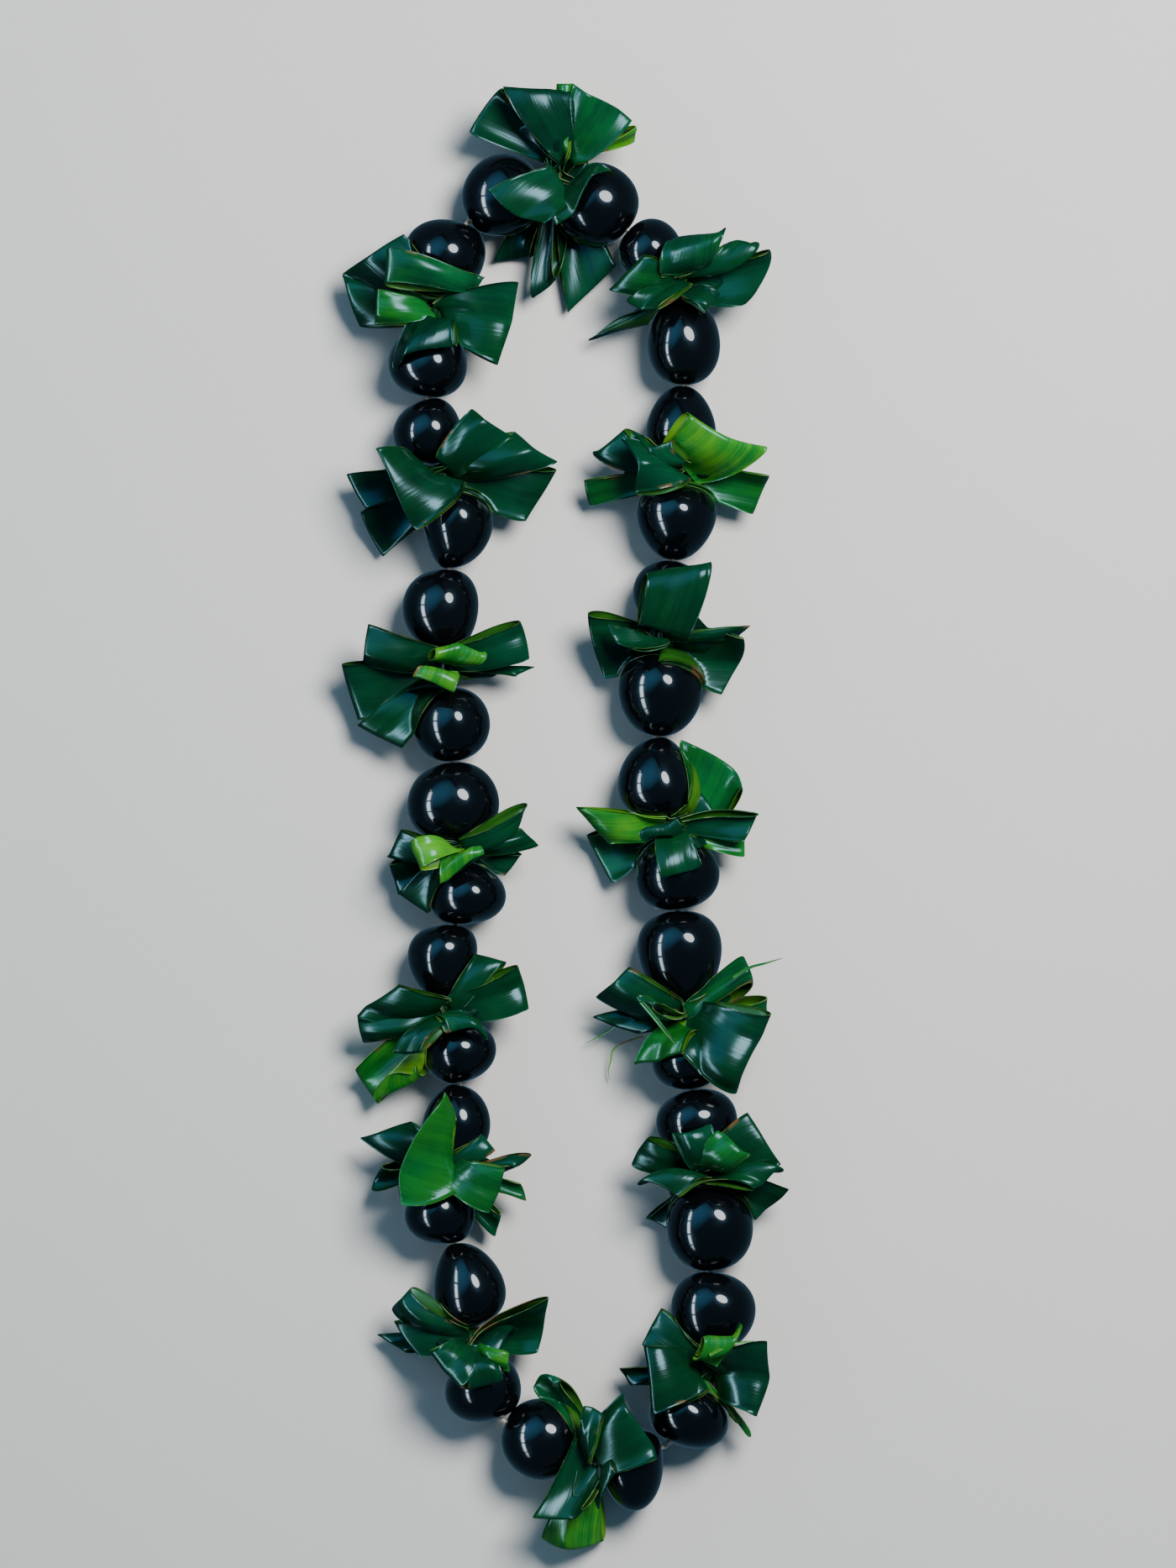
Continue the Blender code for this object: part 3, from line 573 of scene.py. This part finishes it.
def loop_grid(base, leg, lean, corners, chance, gape=None, bow=None, pinch=ROOT_WIDTH_SHARE):
    """Middle surface of one strip, from its root on the cord over the fold line and back.

    A point's share out goes from 0 at the root to 1 at the fold line, and its side from -1 to 1 across. It
    lies on the straight line between the middles of root and fold line at that share, set off sideways by the
    half width there, and outward by a bow. It is moved along the normal by an arch (a sine of the share out,
    and a camber across), by pleats (a rounded saw-tooth across), by a ripple at the edges, and by plus or
    minus the half-gap that parts the two layers, which are also slid apart along the fold line.
    """
    first, second = corners
    middle = (first + second) / 2
    reach = middle - base
    length = np.linalg.norm(reach)
    width = np.linalg.norm(second - first)
    radial = unit(reach - leg * (reach @ leg))
    across = second - first
    root_across = np.cross(leg, radial)
    root_across = unit(root_across + leg * lean * root_across[2]) * min(width * pinch, ROOT_WIDEST)
    root_across *= 1.0 if root_across @ across > 0 else -1.0
    root = base + radial
    half_rise = abs(root_across[2]) / 2
    root[2] = max(half_rise + FLOOR_CLEARANCE, ROOT_TOP + ROOT_TOP_SHARE * middle[2] - half_rise)
    out = 1 - np.linspace(1, 0, LOOP_ROWS)[:, None, None] ** ROW_CROWDING
    side = np.linspace(-1, 1, LOOP_COLUMNS)[None, :, None]
    drawn_bow = chance.uniform(*BOWS)
    bow = drawn_bow if bow is None else bow
    spread = (root_across + (across - root_across) * out**FLARE) * side / 2
    grid = root + (middle - root) * out + spread + unit(reach) * (width * bow) * out**2 * (1 - side**2)
    normal = unit(np.cross(np.gradient(grid, axis=0), np.gradient(grid, axis=1)))
    nuts = [(start + end) / 2 for start, end, *_ in nut_frames]
    nearest = min(nuts, key=lambda nut: np.linalg.norm(middle - nut))
    normal *= 1.0 if normal[-1].mean(axis=0) @ (middle - nearest) > 0 else -1.0
    arch = length * chance.uniform(*ARCHES) * np.sin(math.pi * out) * (1 - side**2 / 2)
    arch = arch + width * chance.uniform(*CAMBERS) * out**2 * (2 / 3 - side**2)
    turn = math.pi * chance.uniform(*PLEAT_COUNTS) * side + chance.uniform(0, 2 * math.pi)
    pleat = width * chance.uniform(*PLEATS) * out * np.arcsin(PLEAT_SHARPNESS * np.sin(turn))
    ripple = chance.uniform(*RIPPLES) * side**4 * np.sin(math.pi * (2 * out + side + chance.uniform(0, 2)))
    grid = grid + normal * (arch + pleat + ripple * out)
    drawn_gape = chance.uniform(*GAPES)
    gape = drawn_gape if gape is None else gape
    opening = OPENING_PEAK * length * gape * out**OPENING_RISE
    opening = (ROOT_SPACING / 2 + opening) * (1 - out) ** OPENING_CLOSE
    skew = chance.choice((-1, 1)) * chance.uniform(*SKEWS) * opening * unit(across)
    near, far = grid - normal * opening - skew, grid + normal * opening + skew
    far[-1] = near[-1] = (far[-1] + near[-1]) / 2
    outer_margin = LEAF_CLEARANCE + LAYER_CLEARANCE * (1 - out[-2::-1, :, 0]) ** OPENING_CLOSE
    margin = np.concatenate((np.full((LOOP_ROWS, 1), LEAF_CLEARANCE), outer_margin))
    made = clear_of_nuts(np.concatenate((near, far[-2::-1])), margin)
    made[..., 2] = np.maximum(made[..., 2], FLOOR_CLEARANCE)
    made = made if root_across[2] > 0 else made[:, ::-1]
    return made if (made[0] - made[-1]).mean(axis=0) @ leg < 0 else made[::-1]


def joined_loops(loops):
    """One strip of all these loops, with a few rows between each one's last row and the next one's first.

    With the grid come the tone of each row and which face is outermost there, 0 for the top, 1 for the back.
    """
    grids, tones, faces = [], [], []
    for (grid, tone), following in zip(loops, loops[1:] + [None]):
        rows, columns = len(grid), grid.shape[1]
        normal = np.cross(*(np.gradient(grid, axis=axis)[rows // 2, columns // 2] for axis in (0, 1)))
        outside = grid[rows // 2].mean(axis=0) - grid[0].mean(axis=0)
        face = 0.0 if normal @ outside > 0 else 1.0
        grids.append(grid)
        tones += [tone] * rows
        faces += [face] * rows
        if following:
            share = (np.arange(LINK_ROWS) + 1)[:, None, None] / (LINK_ROWS + 1)
            grids.append(clear_of_nuts(grid[-1] + (following[0][0] - grid[-1]) * share, LEAF_CLEARANCE))
            tones += [tone] * LINK_ROWS
            faces += [face] * LINK_ROWS
    return np.concatenate(grids), np.array(tones), np.array(faces)


def leaf_sheet(grid, tones, faces, slant):
    """A closed sheet round a grid: its points and quads, and for each point some facts on the strip.

    They are its place along and across the strip, its tone, 1 where it is on the under side, and its distance
    from the nearer long rim.
    """
    rows, columns = grid.shape[:2]
    normal = unit(np.cross(np.gradient(grid, axis=0), np.gradient(grid, axis=1)))
    offsets = (LEAF_THICKNESS / 2, -LEAF_THICKNESS / 2)
    points = np.concatenate([(grid + normal * offset).reshape(-1, 3) for offset in offsets])
    back = rows * columns
    top = grid_quads(rows, columns)
    rim = np.concatenate((
        np.arange(rows) * columns,
        back - columns + np.arange(1, columns),
        np.arange(rows - 2, -1, -1) * columns + columns - 1,
        np.arange(columns - 2, 0, -1),
    ))
    after = np.roll(rim, -1)
    side = np.stack((after, rim, rim + back, after + back), axis=1)
    quads = np.concatenate((top, top[:, ::-1] + back, side))
    midline = grid[:, columns // 2]
    along = np.cumsum(np.linalg.norm(np.diff(midline, axis=0, prepend=midline[:1]), axis=1))
    steps = np.linalg.norm(np.diff(grid, axis=1), axis=2)
    across = np.concatenate((np.zeros((rows, 1)), np.cumsum(steps, axis=1)), axis=1)
    edge = np.minimum(across, across[:, -1:] - across)
    across = across - across[:, -1:] / 2
    slanted = across + along[:, None] * slant
    place = np.stack((np.broadcast_to(along[:, None], across.shape), slanted), axis=-1)
    place = np.tile(place.reshape(-1, 2), (2, 1))
    under = np.concatenate((np.repeat(faces, columns), np.repeat(1 - faces, columns)))
    return points, quads, place, np.tile(np.repeat(tones, columns), 2), under, np.tile(edge.reshape(-1), 2)


def gathered_middle(middle, before, after, half_length):
    """The leaf pinched round the cord.

    The rings' radius is a cosine hump from end to end, times 1 plus the pleats' cosine round the cord, times
    a rounding that closes the last rings toward the cord.
    """
    along = np.linspace(-1, 1, MIDDLE_RINGS)[:, None, None]
    turn = np.linspace(0, 2 * math.pi, MIDDLE_SIDES, endpoint=False)[None, :, None]
    route = middle + half_length * np.where(along < 0, along * before, along * after)
    inward = unit(np.cross(before + after, UP))
    radius = HUB_END_RADIUS + (HUB_RADIUS - HUB_END_RADIUS) * np.cos(math.pi / 2 * along)
    pleats = 1 + MIDDLE_PLEAT_DEPTH * np.cos(MIDDLE_PLEATS * turn + along)
    radius = radius * pleats * (1 - MIDDLE_ROUNDING * along**8)
    return route + radius * (np.sin(turn) * inward + np.cos(turn) * UP)


def loose_strand(corners, width):
    """A narrow strip along a line from corner to corner, eased, and tapered to its tip."""
    places = np.linspace(0, len(corners) - 1, STRAND_ROWS)
    route = np.stack([np.interp(places, np.arange(len(corners)), axis) for axis in corners.T], axis=1)
    for _ in range(STRAND_EASE):
        route[1:-1] = (route[:-2] + 2 * route[1:-1] + route[2:]) / 4
    along = unit(np.gradient(route, axis=0))
    across = unit(np.cross(along, UP + STRAND_TILT * along[:, ::-1]))
    taper = 1 - np.linspace(0, 1, STRAND_ROWS) ** STRAND_TAPER_POWER * STRAND_TAPER
    half_width = (width / 2 * taper)[:, None]
    return np.stack([route + across * half_width * side for side in (-1.0, 0.0, 1.0)], axis=1)


def tucked_folds(folds, chance):
    """Short dark folds low between neighbouring folds, from the middle of one to the middle of the next."""
    middles = [(np.array(fold[0], float) + fold[1]) / 2 for fold in folds]
    middles.sort(key=lambda middle: math.atan2(middle[1], middle[0]))
    made = []
    for first, second in zip(middles, middles[1:] + middles[:1]):
        turn = math.degrees(math.atan2(second[1], second[0]) - math.atan2(first[1], first[0])) % 360
        ends = [point * (TUCK_REACH, TUCK_REACH, 1) - TUCK_DROP * UP for point in (first, second)]
        if turn < TUCK_WIDEST_ANGLE and np.linalg.norm(ends[1] - ends[0]) > TUCK_LEAST_WIDTH:
            made.append((*ends, chance.uniform(*TUCK_TONES)))
    return tuple(made)


def rosette_loops(folds, centre, before, after, half_length, chance):
    """Each fold's grid and tone, in the folds' order along the cord."""
    ends = [np.array([(centre[0] + x, centre[1] + y, z) for x, y, z in fold[:2]]) for fold in folds]
    order = np.argsort(np.argsort([pair.mean(axis=0) @ (before + after) for pair in ends]))
    loops = [None] * len(folds)
    for (_, _, tone, *settings), pair, rank in zip(folds, ends, order):
        share = 2 * rank / (len(folds) - 1) - 1
        leg = after if share > 0 else before
        shape = {"lean": ROOT_LEAN * share, **(settings[0] if settings else {})}
        base = centre + leg * half_length * ROOT_SPREAD * share
        if "root" in shape:
            base = centre + np.array(shape.pop("root")) - CORD_HEIGHT * UP
        loops[rank] = (loop_grid(base, leg, shape.pop("lean"), pair, chance, **shape), tone)
    return loops


def torn_strips(loops):
    """The loops in runs, each run one strip, which ends where the next loop starts turned too far from it."""
    strips = [[loops[0]]]
    for last, following in zip(loops, loops[1:]):
        rise, next_rise = (unit(row[-1] - row[0]) for row in (last[0][-1], following[0][0]))
        if rise @ next_rise > LINK_TWIST:
            strips[-1].append(following)
        else:
            strips.append([following])
    return strips


def rosette_piece(number, material):
    """All the strips of one rosette as one mesh, with its UV map in metres along and across the strip."""
    chance = np.random.default_rng((LEAF_SEED, number))
    folds, half_length = FOLDS[number], HUB_HALF_LENGTHS[number]
    folds = folds + tucked_folds(folds, chance)
    index = 2 * number
    centre = cord_corners[index]
    before = unit(centre - cord_corners[index - 1])
    after = unit(cord_corners[(index + 1) % len(cord_corners)] - centre)
    strips = torn_strips(rosette_loops(folds, centre, before, after, half_length, chance))
    sheets = [leaf_sheet(*joined_loops(strip), chance.uniform(-VEIN_SLANT, VEIN_SLANT)) for strip in strips]
    for rosette, corners, width, tone in STRANDS:
        if rosette == number:
            strand = loose_strand(np.array(corners) + centre - CORD_HEIGHT * UP, width)
            strand = clear_of_nuts(strand, LEAF_CLEARANCE)
            sheets.append(leaf_sheet(strand, np.full(STRAND_ROWS, tone), np.ones(STRAND_ROWS), 0.0))
    rings = gathered_middle(centre, before, after, half_length)
    size = MIDDLE_RINGS * MIDDLE_SIDES
    # The gathered middle, its tone painted darkest as the shade deep among the folds.
    sheets.append((
        rings.reshape(-1, 3),
        grid_quads(MIDDLE_RINGS, MIDDLE_SIDES, True, True),
        np.indices((MIDDLE_RINGS, MIDDLE_SIDES)).reshape(2, -1).T[:, ::-1].astype(float),
        np.full(size, MIDDLE_SHADE_TONE),
        np.ones(size),
        np.full(size, MIDDLE_EDGE_DEPTH),
    ))
    starts = np.cumsum([0] + [len(sheet[0]) for sheet in sheets[:-1]])
    quads = np.concatenate([outward(sheet[0], sheet[1]) + start for sheet, start in zip(sheets, starts)])
    points, _, places, *layers = (np.concatenate(parts) for parts in zip(*sheets))
    name = f"ti_leaf_{number + 1:02d}"
    mesh = new_piece(name, points, quads, material, "ti_leaf", f"ti_rosette_{number + 1:02d}").data
    for layer, values in zip(("tone", "under", "edge"), layers):
        attribute = mesh.attributes.new(layer, "FLOAT", "POINT")
        attribute.data.foreach_set("value", values.astype(np.float32))
    corners = np.empty(len(mesh.loops), np.int32)
    mesh.loops.foreach_get("vertex_index", corners)
    place = places[corners] * MM
    mesh.uv_layers.new(name="strip").data.foreach_set("uv", place.astype(np.float32).ravel())


def map_range(tree, value, from_range, to_range=(0.0, 1.0)):
    """A value moved from one range to another and held inside it."""
    (start, end), (new_start, new_end) = from_range, to_range
    inputs = {"Value": value, "From Min": start, "From Max": end, "To Min": new_start, "To Max": new_end}
    return add_node(tree, "ShaderNodeMapRange", inputs).outputs[0]


def colour_steps(tree, value, steps):
    """A colour that goes through these steps, each a place on the value and its colour."""
    ramp = add_node(tree, "ShaderNodeValToRGB", {"Fac": value})
    stops = ramp.color_ramp.elements
    for _ in steps[2:]:
        stops.new(0.5)
    for stop, (place, colour) in zip(stops, steps):
        stop.position, stop.color = place, (*colour, 1.0)
    return ramp.outputs["Color"]


# The leaf's colours from deep green at 0 to yellow-green at 1, and what moves a point's place on them: the
# strip's tone plus a share of the blotches, ribs and veins, less an offset that keeps their mean at the tone.
UPPER_FACE = (
    (0.0, (0.0004, 0.012, 0.005)), (0.35, (0.0012, 0.042, 0.011)),
    (0.7, (0.012, 0.140, 0.010)), (1.0, (0.130, 0.400, 0.006)),
)
# Teal colours laid in random patches: a painted bluish sheen, the sky's reflection painted into the colour.
TEAL_SHEEN_FACE = (
    (0.0, (0.0003, 0.013, 0.008)), (0.35, (0.0010, 0.050, 0.020)),
    (0.7, (0.008, 0.160, 0.020)), (1.0, (0.090, 0.410, 0.015)),
)
# The under face is paler and yellower: partly the leaf's own paler back, partly a painted glow of light
# shining through the leaf.
UNDER_FACE = (
    (0.0, (0.003, 0.032, 0.005)), (0.35, (0.018, 0.095, 0.007)),
    (0.7, (0.075, 0.230, 0.007)), (1.0, (0.180, 0.440, 0.012)),
)
CUT_EDGE = (0.22, 0.33, 0.10)
DRY_LEAF = (0.16, 0.09, 0.035)
LEAF_TINT = (0.45, 0.80, 1.0, 1.0)
VEIN_STRETCH = (30.0, 1000.0, 1.0)
RIB_STRETCH = (8.0, 260.0, 1.0)
VEIN_DETAIL = 2.0
RIB_DETAIL = 1.0
BLOTCH_SCALE = 90.0
BLOTCH_DETAIL = 3.0
BLOTCH_SHARE = 0.35
RIB_SHARE = 0.25
VEIN_SHARE = 0.20
RAMP_OFFSET = 0.40
RIB_HEIGHT = 1.4
LEAF_BUMP = (0.07, 1.0)
LEAF_ROUGHNESS = 0.14
UNDER_ROUGHNESS = 0.12
BLOTCH_ROUGHNESS = 0.16

# Where the noises start and end to show: teal patches of painted bluish sheen, pale stretches of the cut rim,
# and dried places. The widths of the pale and the dried rim are in millimetres, with what they start and end
# at.
TEAL_SHEEN_SCALE = 35.0
TEAL_SHEEN_NOISE = (0.4, 0.62)
RIM_SCALE = 150.0
RIM_NOISE = (0.50, 0.62)
RIM_SHARES = (0.05, 1.0)
PALE_RIM = (0.0, 0.3)
PALE_SHARES = (0.45, 0.0)
DRY_SCALE = 70.0
DRY_DETAIL = 5.0
DRY_GRAIN = 0.6
DRY_NOISE = (0.61, 0.66)
DRY_RIM = (0.3, 1.6)
DRY_SHARES = (1.0, 0.0)

leaf, leaf_tree, leaf_surface = new_finish("ti_leaf", IOR=1.36, Specular_Tint=LEAF_TINT)
tone, under, edge_depth = (
    add_node(leaf_tree, "ShaderNodeAttribute", attribute_name=layer).outputs["Fac"]
    for layer in ("tone", "under", "edge")
)
leaf_place = object_place(leaf_tree)
strip_place = add_node(leaf_tree, "ShaderNodeUVMap", uv_map="strip").outputs[0]
vein_place, rib_place = (
    add_node(leaf_tree, "ShaderNodeMapping", {"Vector": strip_place, "Scale": stretch}).outputs[0]
    for stretch in (VEIN_STRETCH, RIB_STRETCH)
)
veins = noise(leaf_tree, vein_place, 1.0, VEIN_DETAIL)
ribs = noise(leaf_tree, rib_place, 1.0, RIB_DETAIL)
blotches = noise(leaf_tree, leaf_place, BLOTCH_SCALE, BLOTCH_DETAIL)

# The strip's tone holds painted shade and a painted glow as well as the leaf's own colour.
ramp_place = tone
for pattern, share in ((blotches, BLOTCH_SHARE), (ribs, RIB_SHARE), (veins, VEIN_SHARE)):
    ramp_place = math_node(leaf_tree, "MULTIPLY_ADD", pattern, share, ramp_place)
ramp_place = math_node(leaf_tree, "SUBTRACT", ramp_place, RAMP_OFFSET)
# Painted bluish sheen: teal patches mixed into the upper face's colour.
teal_sheen_places = map_range(leaf_tree, noise(leaf_tree, leaf_place, TEAL_SHEEN_SCALE), TEAL_SHEEN_NOISE)
upper, teal_sheen, lower = (colour_steps(leaf_tree, ramp_place, steps) for steps in (UPPER_FACE, TEAL_SHEEN_FACE, UNDER_FACE))
upper = mix_colours(leaf_tree, teal_sheen_places, upper, teal_sheen)
leaf_colour = mix_colours(leaf_tree, under, upper, lower)

pale_rim = map_range(leaf_tree, edge_depth, PALE_RIM, PALE_SHARES)
pale_places = map_range(leaf_tree, noise(leaf_tree, leaf_place, RIM_SCALE), RIM_NOISE, RIM_SHARES)
pale_share = math_node(leaf_tree, "MULTIPLY", pale_rim, pale_places)
leaf_colour = mix_colours(leaf_tree, pale_share, leaf_colour, CUT_EDGE)
dry_rim = map_range(leaf_tree, edge_depth, DRY_RIM, DRY_SHARES)
dry_noise = noise(leaf_tree, leaf_place, DRY_SCALE, DRY_DETAIL, Roughness=DRY_GRAIN)
dry_places = map_range(leaf_tree, dry_noise, DRY_NOISE)
dry_share = math_node(leaf_tree, "MULTIPLY", dry_rim, dry_places)
leaf_colour = mix_colours(leaf_tree, dry_share, leaf_colour, DRY_LEAF)
leaf_tree.links.new(leaf_colour, leaf_surface.inputs["Base Color"])

leaf_gloss = math_node(leaf_tree, "MULTIPLY_ADD", under, UNDER_ROUGHNESS, LEAF_ROUGHNESS)
leaf_gloss = math_node(leaf_tree, "MULTIPLY_ADD", blotches, BLOTCH_ROUGHNESS, leaf_gloss)
leaf_tree.links.new(leaf_gloss, leaf_surface.inputs["Roughness"])
vein_height = math_node(leaf_tree, "MULTIPLY_ADD", ribs, RIB_HEIGHT, veins)
join_bump(leaf_tree, leaf_surface, vein_height, *LEAF_BUMP)

for number in range(len(FOLDS)):
    rosette_piece(number, leaf)


# The stage is a pale table under a soft lamp, up to the right. Two glowing boards, a window low on the left
# and a patch of sky to the upper left, are seen in gloss alone, where the table isn't seen. A dim blue room
# lights the shade, and the camera sees a plain grey backdrop in its place.

FLOOR_SIZE = 3000.0
FLOOR_DROP = 0.05
FLOOR_COLOUR = (0.72, 0.71, 0.69)
FLOOR_SHADE = 0.97
FLOOR_CLOUD_SCALE = 9.0
BACKDROP = (0.30, 0.31, 0.32)
ROOM = (0.16, 0.34, 0.50)
ROOM_STRENGTH = 0.36
LAMP_TOWARD = (0.38, 0.42, 0.85)
LAMP_DISTANCE = 1600
LAMP_SIZE = (820, 640)
LAMP_WATTS = 44
LAMP_COLOUR = (1.0, 0.98, 0.95)
BAR_SHARE = 0.12


def flat_object(name, width, height, level, finish):
    """A level rectangle round the middle of its own object, with a UV map from corner to corner."""
    across, up = width / 2 * MM, height / 2 * MM
    mesh = bpy.data.meshes.new(name)
    corners = [(x * across, y * up, level * MM) for x, y in ((-1, -1), (1, -1), (1, 1), (-1, 1))]
    mesh.from_pydata(corners, [], [(0, 1, 2, 3)])
    mesh.materials.append(finish)
    mesh.uv_layers.new(name="board").data.foreach_set("uv", (0, 0, 1, 0, 1, 1, 0, 1))
    made = bpy.data.objects.new(name, mesh)
    bpy.context.scene.collection.objects.link(made)
    return made


def face_lei(thing, toward, distance):
    """Puts a thing at this distance along a direction from the lei's middle, facing it."""
    thing.location = unit(np.array(toward)) * distance * MM
    thing.rotation_mode = "QUATERNION"
    thing.rotation_quaternion = thing.location.to_track_quat("Z", "Y")


floor_finish, floor_tree, floor_surface = new_finish("pale_table", Roughness=0.7)
floor_clouds = noise(floor_tree, object_place(floor_tree), FLOOR_CLOUD_SCALE)
floor_shade = tuple(FLOOR_SHADE * part for part in FLOOR_COLOUR)
floor_colour = mix_colours(floor_tree, floor_clouds, floor_shade, FLOOR_COLOUR)
floor_tree.links.new(floor_colour, floor_surface.inputs["Base Color"])
table_top = flat_object("table_top", FLOOR_SIZE, FLOOR_SIZE, -FLOOR_DROP, floor_finish)
table_top.visible_glossy = False

lamp_light = bpy.data.lights.new("lamp", "AREA")
lamp_light.shape = "ELLIPSE"
lamp_light.size, lamp_light.size_y = (size * MM for size in LAMP_SIZE)
lamp_light.energy = LAMP_WATTS
lamp_light.color = LAMP_COLOUR
lamp = bpy.data.objects.new("lamp", lamp_light)
bpy.context.scene.collection.objects.link(lamp)
face_lei(lamp, LAMP_TOWARD, LAMP_DISTANCE)


def glowing_board(name, toward, distance, width, height, strength, colour, bars):
    """A glowing board that only gloss mirrors: brightest in the middle, dark at its rim, and parted by bars.

    The glow is the strength times the sine of half a turn across the board, times the same up the board.
    """
    finish = bpy.data.materials.new(name)
    finish.use_nodes = True
    tree = finish.node_tree
    tree.nodes.remove(tree.nodes["Principled BSDF"])
    place = add_node(tree, "ShaderNodeTexCoord").outputs["UV"]
    parts = add_node(tree, "ShaderNodeSeparateXYZ", {"Vector": place})
    glow = strength
    for part in (parts.outputs[0], parts.outputs[1]):
        hump = math_node(tree, "SINE", math_node(tree, "MULTIPLY", part, math.pi))
        glow = math_node(tree, "MULTIPLY", glow, hump)
    ladder = math_node(tree, "FRACT", math_node(tree, "MULTIPLY", parts.outputs[0], bars))
    glow = math_node(tree, "MULTIPLY", glow, math_node(tree, "GREATER_THAN", ladder, BAR_SHARE))
    shine = add_node(tree, "ShaderNodeEmission", {"Color": (*colour, 1.0), "Strength": glow})
    tree.links.new(shine.outputs[0], tree.nodes["Material Output"].inputs["Surface"])
    board = flat_object(name, width, height, 0.0, finish)
    face_lei(board, toward, distance)
    board.visible_camera = board.visible_diffuse = board.visible_shadow = False


glowing_board(
    "window", toward=(-0.80, -0.05, 0.60), distance=1500, width=3400, height=320,
    strength=40.0, colour=(0.85, 0.95, 1.0), bars=5.0,
)
glowing_board(
    "sky", toward=(-0.45, 0.50, 0.80), distance=1700, width=2600, height=2000,
    strength=3.0, colour=(0.16, 0.60, 1.0), bars=1.0,
)

world = bpy.data.worlds.new("room")
world.use_nodes = True
seen = add_node(world.node_tree, "ShaderNodeLightPath").outputs["Is Camera Ray"]
room_light = tuple(ROOM_STRENGTH * part for part in ROOM)
room_colour = mix_colours(world.node_tree, seen, room_light, BACKDROP)
world.node_tree.links.new(room_colour, world.node_tree.nodes["Background"].inputs["Color"])
bpy.context.scene.world = world
